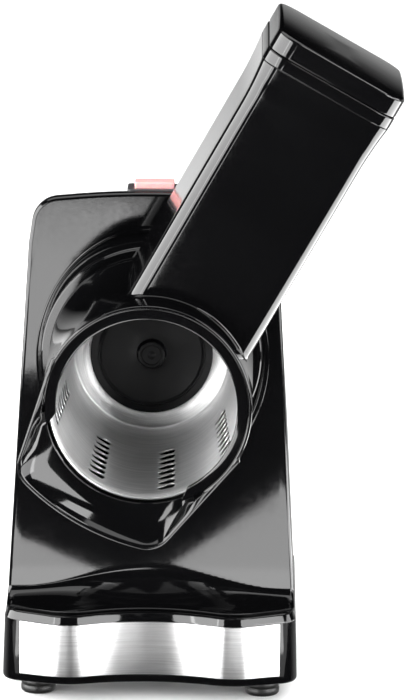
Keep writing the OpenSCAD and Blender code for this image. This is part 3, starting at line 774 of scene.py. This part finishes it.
def pusher_cap():
    """Cap of the pusher: straight skirt, rolled edge and a top crowned from front to back."""
    s = Surface()
    crown, roll = 1.0, 1.7
    steps = [(6, 0), (0.7, 0), (0.15, 0.2), (0, 0.7), (0, CAP_H - crown - roll)]
    steps += [(roll * (1 - math.cos(a)), CAP_H - crown - roll + roll * math.sin(a))
              for a in [math.radians(11.25 * i) for i in range(1, 9)]]
    steps += [(inset, CAP_H - crown) for inset in (2.2, 3.2, 5, 8, 12, 17, 23, 30)]

    def height(y, z):
        return z + crown * (1 - (y / CAP_HY) ** 2) * smooth_step(z / (CAP_H - crown))

    s.capped([[(x, CHUTE_MID + y, CAP_LOW + height(y, z)) for x, y in
               rounded_rect(CAP_HX - inset, CAP_HY - inset, max(1.2, 10.6 - inset * 0.85), 14, 14)]
              for inset, z in steps])
    make(s, "pusher_top", on_head, "pusher", BLACK, ("pusher_cap",), sharp=50)


def pusher_body():
    """Plunger that fills the chute, with two grooves round it and a rounded foot."""
    s = Surface()
    gap = 0.5
    hx, hy = CHUTE_HX - CHUTE_WALL - gap, CHUTE_HY - CHUTE_WALL - gap
    steps = [(3, 51.2), (1.4, 50), (0.5, 50.2), (0.1, 50.8), (0, 52), (0, 60), (0.5, 60.4), (0.5, 61.4),
             (0, 61.8), (0, 110), (0.5, 110.4), (0.5, 111.4), (0, 111.8), (0, CAP_LOW)]
    s.capped([[(x, CHUTE_MID + y, z) for x, y in rounded_rect(hx - inset, hy - inset, 3.6, 6, 6)]
              for inset, z in steps])
    make(s, "pusher_plunger", on_head, "pusher", BLACK, ("pusher_body",), sharp=40)


SPOUT_LEN = 63.8  # from the drum axis to the lip
SPOUT_SIDE = math.radians(11.5)  # slant of the sides
SPOUT_CORNER = 13.0
SPOUT_CORNER_Z = 47.0  # how far below the axis the corners are centred


def spout_radius(angle):
    """Distance from the axis to the spout's outline, at an angle from straight down.

    The outline has sides tangent to the barrel, round corners and a lip that is one shallow arc. Halving
    finds the point on the way out that leaves it.
    """
    across, down = math.cos(SPOUT_SIDE), math.sin(SPOUT_SIDE)
    side_x = BARREL_R * across - math.tan(SPOUT_SIDE) * (SPOUT_CORNER_Z - BARREL_R * down)
    c = SPOUT_CORNER
    cx = side_x - c / across
    dz = SPOUT_CORNER_Z - SPOUT_LEN
    bow = (c * c - cx * cx - dz * dz) / (2 * (dz + c))
    sx, cz = abs(math.sin(angle)), math.cos(angle)
    if cz <= 0:
        return BARREL_R
    side = BARREL_R / (sx * across + cz * down)
    low, high = 0.0, 100.0
    for _ in range(40):
        mid = (low + high) / 2
        x, z = mid * sx, mid * cz
        inside = x * across + z * down < BARREL_R
        inside = inside and math.hypot(x, z - (SPOUT_LEN - bow)) < bow
        turn = math.atan2(z - SPOUT_CORNER_Z, x - cx)
        past_side = x > cx and z > SPOUT_CORNER_Z - 3 and turn > SPOUT_SIDE
        if past_side and turn < math.atan2(bow + dz, cx):
            inside = math.hypot(x - cx, z - SPOUT_CORNER_Z) < c
        low, high = (mid, high) if inside else (low, mid)
    return max(BARREL_R, min(low, side) if sx > 0.05 else low)


def spout_ring():
    """Mouth ring drawn out into a dished spout with a rolled lip."""
    s = Surface()
    f = HEAD_FRONT
    count = 288
    upper = [(BARREL_IN_R, RING_BACK), (BARREL_IN_R, f + 0.9), (BARREL_IN_R + 0.15, f + 0.35),
             (BARREL_IN_R + 0.5, f + 0.05), (BARREL_IN_R + 0.8, f), (BARREL_IN_R + 1.0, f),
             (BARREL_IN_R + 1.1, f), (BARREL_IN_R + 1.2, f)]

    def spout_inner(out):
        wide = out - 2.2 - BARREL_IN_R
        return [(BARREL_IN_R, RING_BACK), (BARREL_IN_R, f + 9.2), (BARREL_IN_R + 0.04 * wide, f + 8.8),
                (BARREL_IN_R + 0.35 * wide, f + 7.6), (BARREL_IN_R + 0.62 * wide, f + 5.6),
                (BARREL_IN_R + 0.84 * wide, f + 3.0), (out - 2.6, f + 1.2), (out - 2.2, f + 0.35)]

    rings = [[] for _ in range(len(upper) + 6)]
    for i in range(count):
        turn = 2 * math.pi * i / count
        out = spout_radius(turn)
        share = smooth_step((out - BARREL_R) / 7)
        section = [(a[0] + (b[0] - a[0]) * share, a[1] + (b[1] - a[1]) * share)
                   for a, b in zip(upper, spout_inner(out))]
        section += [(out - 1.2 + 0.2 * (1 - share), f), (out - 0.45, f + 0.08), (out - 0.1, f + 0.45),
                    (out, f + 1.1), (out - 0.3 * share, f + 2.6), (BARREL_R, RING_BACK)]
        for ring, (r, y) in zip(rings, section):
            ring.append((r * math.sin(turn), y, -r * math.cos(turn)))
    s.tube(rings)
    make(s, "mouth_ring", on_head, "feed_head", BLACK, ("spout_ring",), sharp=60)


def drum_retainer():
    """C-shaped lip that keeps the drum in, open over the spout, with slanting ends."""
    s = Surface()
    back, front = span("drum_retainer", 1, 1), span("drum_retainer", 1, 0)
    gap = math.radians(50)
    slant = math.radians(7)
    count = 150
    section = [(BARREL_IN_R, back), (42.2, back), (42, back - 0.2), (42, front + 1.5), (42.2, front + 1.2),
               (42.8, front + 0.9), (44.2, front + 0.6), (45.6, front + 0.3), (BARREL_IN_R, front)]
    rings = []
    for i in range(count + 1):
        t = i / count
        ring = []
        for r, y in section:
            trim = gap + slant * (BARREL_IN_R - r) / 5
            turn = trim + (2 * math.pi - 2 * trim) * t
            ring.append((r * math.sin(turn), y, -r * math.cos(turn)))
        rings.append(ring)
    s.capped(rings)
    make(s, "retaining_lip", on_head, "feed_head", BLACK, ("drum_retainer",), sharp=50)


# ---- drum ----
DRUM_BACK = span("drum_shell", 1, 1)
DRUM_FRONT = span("drum_shell", 1, 0)
RIM_R = 46.0
DRUM_FRONT_R, DRUM_BACK_R = 44.8, 38.5
WALL_R = 42.0  # mean radius of the slotted wall
SLOT_ROWS, SLOTS_PER_ROW = 8, 8
SLOT_FROM, SLOT_PITCH = DRUM_FRONT + 13, 7.6
CELL_HALF = 6.0  # half the width of the patch round a slot
CELL_NX, CELL_NY = 10, 6  # points along its sides
SLOT_HALF = 4.6
SLOT_HALF_H = 1.95
SLANT = math.radians(12)
BETWEEN = 10  # steps round the plain wall between two rows


def drum_radius(y):
    return DRUM_BACK_R + (DRUM_FRONT_R - DRUM_BACK_R) * (DRUM_BACK - y) / (DRUM_BACK - DRUM_FRONT)


def slot_edge(phi):
    """Teardrop outline of one grating slot in its own axes."""
    return SLOT_HALF * math.cos(phi), SLOT_HALF_H * math.sin(phi) * (1 + 0.5 * math.cos(phi))


def drum_point(angle, y, lift):
    r = drum_radius(y) + lift
    return (r * math.cos(angle), y, r * math.sin(angle))


def slot_cell(s, row_angle, centre_y):
    """A rectangular patch of drum wall with one raised, slanted cutting slot in it."""
    nx, ny = CELL_NX, CELL_NY
    half_y = SLOT_PITCH / 2
    sides = [(CELL_HALF, half_y * (2 * i / ny - 1)) for i in range(ny)]
    sides += [(CELL_HALF * (1 - 2 * i / nx), half_y) for i in range(nx)]
    sides += [(-CELL_HALF, half_y * (1 - 2 * i / ny)) for i in range(ny)]
    sides += [(CELL_HALF * (2 * i / nx - 1), -half_y) for i in range(nx)]
    rings = []
    for t in (0, 0.35, 0.62, 0.8, 0.92, 1.0):
        ring = []
        for u, v in sides:
            a, b = u * math.cos(SLANT) + v * math.sin(SLANT), -u * math.sin(SLANT) + v * math.cos(SLANT)
            phi = math.atan2(b / SLOT_HALF_H, a / SLOT_HALF)
            ea, eb = slot_edge(phi)
            pa, pb = a + (ea - a) * t, b + (eb - b) * t
            low_side = smooth_step(0.5 - math.sin(phi) * 1.6)
            crest = max(0.0, 1 - (pa / (SLOT_HALF + 0.6)) ** 2)
            lift = crest * smooth_step(t * 1.05) * low_side
            pu = pa * math.cos(SLANT) - pb * math.sin(SLANT)
            pv = pa * math.sin(SLANT) + pb * math.cos(SLANT)
            ring.append(drum_point(row_angle + pu / WALL_R, centre_y + pv, lift))
        rings.append(ring)
    s.loft(rings)


def drum_shell():
    """Conical grating drum: rolled rim, rows of slots and a flat ring at the back."""
    s = Surface()
    half_turn = CELL_HALF / WALL_R
    step = 2 * math.pi / SLOT_ROWS
    plain = step - 2 * half_turn
    centres = [math.radians(57) - step * k for k in range(SLOT_ROWS)]
    columns = []
    for centre in centres:
        columns.append([centre + half_turn + plain * i / BETWEEN for i in range(BETWEEN + 1)])
        for j in range(SLOTS_PER_ROW):
            slot_cell(s, centre, SLOT_FROM + SLOT_PITCH * j)
    slot_low = SLOT_FROM - SLOT_PITCH / 2
    slot_high = slot_low + SLOT_PITCH * SLOTS_PER_ROW
    steps = SLOTS_PER_ROW * CELL_NY
    levels = [slot_low + (slot_high - slot_low) * i / steps for i in range(steps + 1)]
    for column in columns:
        s.loft([[drum_point(a, y, 0) for a in column] for y in levels], closed=False)
    # rim, plain wall and back, with the same points round as the slotted zone
    angles = []
    for centre in centres:
        angles += [centre - half_turn + 2 * half_turn * i / CELL_NX for i in range(CELL_NX)]
        angles += [centre + half_turn + plain * i / BETWEEN for i in range(BETWEEN)]
    angles = sorted(set(round(a % (2 * math.pi), 9) for a in angles))
    front, r = DRUM_FRONT, RIM_R
    rim = [(r - 1.7, front + 1.1), (r - 1.3, front + 0.3), (r - 0.7, front), (r - 0.2, front + 0.3),
           (r, front + 1.0), (r - 0.1, front + 1.7), (r - 0.7, front + 2.3), (r - 1.1, front + 2.7),
           (r - 0.9, front + 3.3), (r - 1.0, front + 4.2), (drum_radius(front + 5.2) + 0.1, front + 5.0),
           (drum_radius(front + 6), front + 6), (drum_radius(slot_low), slot_low)]
    s.loft(turned(rim, angles))
    back, r = DRUM_BACK, DRUM_BACK_R
    rear = [(drum_radius(slot_high), slot_high), (drum_radius(-45), -45), (drum_radius(back - 3), back - 3),
            (r - 0.2, back - 1.6), (r - 0.8, back - 0.7), (r - 1.9, back - 0.5), (34, back - 0.5),
            (29.6, back - 0.5)]
    s.loft(turned(rear, angles))
    piece = make(s, "grating_drum", on_axis, "drum", DRUM_STEEL, ("drum_shell",), sharp=55)
    thicken(piece, 0.7)


def drum_hub():
    """Black hub disc with a shallow raised ring and a dished boss in the middle."""
    s = Surface()
    # radius and how far in front of the drum's back
    profile = [(34, -2.5), (34, -0.1), (29.5, 0.1), (29.5, 1.2), (29.2, 1.5), (26.2, 1.5), (25.9, 1.7),
               (25.6, 2.3), (25.2, 2.5), (24.8, 2.3), (24.4, 1.7), (23.8, 1.2), (12, 1.2), (7.5, 1.3),
               (7.0, 1.7), (6.7, 5.4), (6.3, 5.9), (5.2, 6), (4.8, 5.7), (4.5, 5.3), (2.2, 5.2), (1.8, 5.5),
               (1.3, 5.9), (0.3, 6)]
    made = s.loft(turned([(r, DRUM_BACK - ahead) for r, ahead in profile], turns(96)))
    s.fill(made[-1])
    make(s, "hub_disc", on_axis, "drum", HUB_BLACK, ("drum_hub",), sharp=50)


# ---- push button ----
BUTTON_HX, BUTTON_HY = 9.7, 5.25
BUTTON_Y = span("button_cap", 1, 0) + BUTTON_HY
BUTTON_TOP = span("button_cap", 2, 1)


def soft_block(name, hx, hy, low, high, r, body, material, replaces, edge=0.7, hollow=0):
    """A rounded block, or a rounded frame when hollow is the width of its rim."""
    s = Surface()
    steps = [(-edge * 0.3, low), (0, low + edge * 0.3), (0, high - edge), (-0.1 * edge, high - 0.55 * edge),
             (-0.4 * edge, high - 0.15 * edge), (-edge, high)]
    if hollow:
        steps += [(-hollow + 0.3, high), (-hollow, high - 0.3), (-hollow, low)]
    rings = [[(x, BUTTON_Y + y, z) for x, y in rounded_rect(hx + g, hy + g, max(0.4, r + g), 8, 4)]
             for g, z in steps]
    if hollow:
        s.tube(rings)
    else:
        s.capped(rings)
    make(s, name, in_body, body, material, replaces, sharp=50)


def push_button():
    """Red cap in a black frame on the roof."""
    soft_block("button", BUTTON_HX, BUTTON_HY, BUTTON_TOP - 7, BUTTON_TOP, 1.2, "button", RED,
               ("button_cap",))
    soft_block("button_frame", BUTTON_HX + 3.5, BUTTON_HY + 2.95, BODY_TOP - 3.5, BODY_TOP + 0.8, 2, "root",
               TRIM_BLACK, ("button_bezel",), edge=0.5, hollow=3.1)


front_cover()
rear_cover()
plinth()
steel_band()
rubber_feet()
socket_collar()
oval_bezel()
head_barrel()
feed_chute()
chute_collar()
pusher_cap()
pusher_body()
spout_ring()
drum_retainer()
drum_shell()
drum_hub()
push_button()


# ---- CAD nodes that stay ----
def dress(material, *nodes):
    """Gives CAD nodes a material and leaves their shape alone."""
    for node in nodes:
        piece = frame["nodes"][node]
        piece.data.materials.clear()
        piece.data.materials.append(material)


dress(BLACK, "bayonet_lugs")
dress(TRIM_BLACK, "cord_gland", "motor_end_cap", "micro_switch")
dress(SCREW_STEEL, "plinth_screws", "rear_screws", "socket_screws", "drive_spindle", "gear_pins",
      "motor_shaft", "button_spring", "plate_posts")
dress(moulded("gear_nylon", (0.82, 0.8, 0.72), 0.5), "first_gear", "second_gear", "output_gear",
      "cooling_fan")
dress(metal("sheet_steel", (0.45, 0.46, 0.47), 0.4), "motor_can", "gear_plate_front", "gear_plate_rear",
      "armature", "motor_pinion")
dress(moulded("ferrite", (0.06, 0.06, 0.065), 0.7), "motor_magnets")
dress(metal("bronze", (0.55, 0.4, 0.2), 0.4), "spindle_bush", "motor_bearings", "brush_holders")
dress(metal("copper", (0.6, 0.3, 0.15), 0.35), "armature_windings", "commutator")
dress(moulded("carbon", (0.04, 0.04, 0.04), 0.6), "carbon_brushes")


# ---- studio ----
def floor_part(name, y0, y1, seen_in_gloss):
    """A strip of floor across the stage from y0 to y1."""
    mesh = bpy.data.meshes.new(name)
    mesh.from_pydata([(-6, y0, 0), (6, y0, 0), (6, y1, 0), (-6, y1, 0)], [], [(0, 1, 2, 3)])
    piece = bpy.data.objects.new(name, mesh)
    bpy.context.scene.collection.objects.link(piece)
    mesh.materials.append(FLOOR)
    piece.visible_glossy = seen_in_gloss


FLOOR = white_floor()
floor_part("floor_back", 1.8, 9, True)
floor_part("floor_under", 0.0, 1.8, False)
floor_part("floor_front", -7, 0.0, False)


def softbox(name, place, aim, width, height, radiance):
    """A rectangular soft light of a given brightness, not seen by the camera."""
    light = bpy.data.lights.new(name, "AREA")
    light.shape = "RECTANGLE"
    light.size = width
    light.size_y = height
    light.energy = radiance * math.pi * width * height
    lamp = bpy.data.objects.new(name, light)
    bpy.context.scene.collection.objects.link(lamp)
    lamp.location = place
    lamp.rotation_euler = (Vector(aim) - Vector(place)).to_track_quat("-Z", "Y").to_euler()
    lamp.visible_camera = False
    return lamp


def floor_card(name, x, y, width, length, radiance, turn=0.0):
    """A glowing card just above the floor, turned about its middle, for reflections in the black parts."""
    card = softbox(name, (x, y, 0.004), (x, y, 1), width, length, radiance)
    card.rotation_euler = (math.pi, 0, math.radians(turn))


softbox("top_light", (0.0, 0.1, 2.0), (0, 0.1, 0), 2.4, 2.0, 2.2)
softbox("back_light", (0.0, 1.6, 1.8), (0, 1.6, 0), 6.0, 5.0, 1.2).visible_glossy = False
softbox("front_light", (0.0, -3.0, 2.2), (0, -3.2, 0), 4.0, 3.0, 3).visible_glossy = False
softbox("left_wall", (-1.5, -0.73, 0.65), (0, -0.73, 0.65), 2.8, 1.5, 9)
softbox("right_wall", (1.6, -0.55, 0.3), (0, -0.55, 0.3), 1.7, 0.8, 6)
softbox("left_front", (-0.985, -1.741, 0.55), (0, 0, 0.2), 0.55, 1.3, 8)
softbox("right_front", (1.36, -1.65, 0.6), (0, 0, 0.2), 1.2, 1.3, 8)
floor_card("floor_band", 0.0, -0.13, 0.5, 0.15, 1.2)
floor_card("floor_far_left", AXIS.x - 0.1, PLATE_Y - 0.91, 0.16, 0.38, 7)
floor_card("floor_further_left", AXIS.x - 0.14, PLATE_Y - 1.85, 0.18, 1.5, 7)
floor_card("floor_near_left", AXIS.x - 0.138, PLATE_Y - 0.22, 0.16, 0.21, 7, -35.4)
floor_card("floor_near_right", AXIS.x + 0.106, PLATE_Y - 0.259, 0.16, 0.24, 7, 20)
floor_card("floor_right", 0.44, -0.03, 0.42, 0.52, 10)
softbox("high_right", (1.3, -0.6, 1.8), (1.3, -0.6, 0), 0.5, 2.0, 9)


def studio_world():
    """White backdrop low behind the object, dark above and in front, plain white to the camera."""
    world = bpy.data.worlds.new("studio")
    bpy.context.scene.world = world
    world.use_nodes = True
    tree = world.node_tree
    background = tree.nodes["Background"]
    where = tree.nodes.new("ShaderNodeTexCoord")
    parts = tree.nodes.new("ShaderNodeSeparateXYZ")
    tree.links.new(where.outputs["Generated"], parts.inputs["Vector"])
    behind = remap(tree, parts.outputs["Y"], 0.01, 0.5, 0.0, 0.5)
    low = remap(tree, parts.outputs["Z"], 1.0, 0.0, 0.0, 0.12)
    path = tree.nodes.new("ShaderNodeLightPath")
    seen = tree.nodes.new("ShaderNodeMath")
    seen.operation = "MAXIMUM"
    tree.links.new(multiply(tree, behind, low), seen.inputs[0])
    tree.links.new(path.outputs["Is Camera Ray"], seen.inputs[1])
    tree.links.new(seen.outputs[0], background.inputs["Strength"])
    background.inputs["Color"].default_value = (1, 1, 1, 1)


studio_world()
bpy.context.scene.view_settings.view_transform = "Standard"


def make_camera():
    """A long lens well in front, a little to the right and above, looking slightly down."""
    pitch, yaw, roll = math.radians(13.126), math.radians(-0.538), math.radians(0.586)
    ahead = Vector((math.sin(yaw) * math.cos(pitch), math.cos(yaw) * math.cos(pitch), -math.sin(pitch)))
    right = Vector((math.cos(yaw), -math.sin(yaw), 0))
    up = right.cross(ahead)
    turned_right = right * math.cos(roll) + up * math.sin(roll)
    turned_up = up * math.cos(roll) - right * math.sin(roll)
    data = bpy.data.cameras.new("camera")
    data.lens = 260.94
    data.sensor_width = 36
    data.clip_end = 50
    camera = bpy.data.objects.new("camera", data)
    bpy.context.scene.collection.objects.link(camera)
    turn = Matrix((turned_right, turned_up, -ahead)).transposed().to_4x4()
    camera.matrix_world = Matrix.Translation(in_body((47.73, -2415.75, 737.92))) @ turn
    bpy.context.scene.camera = camera


make_camera()
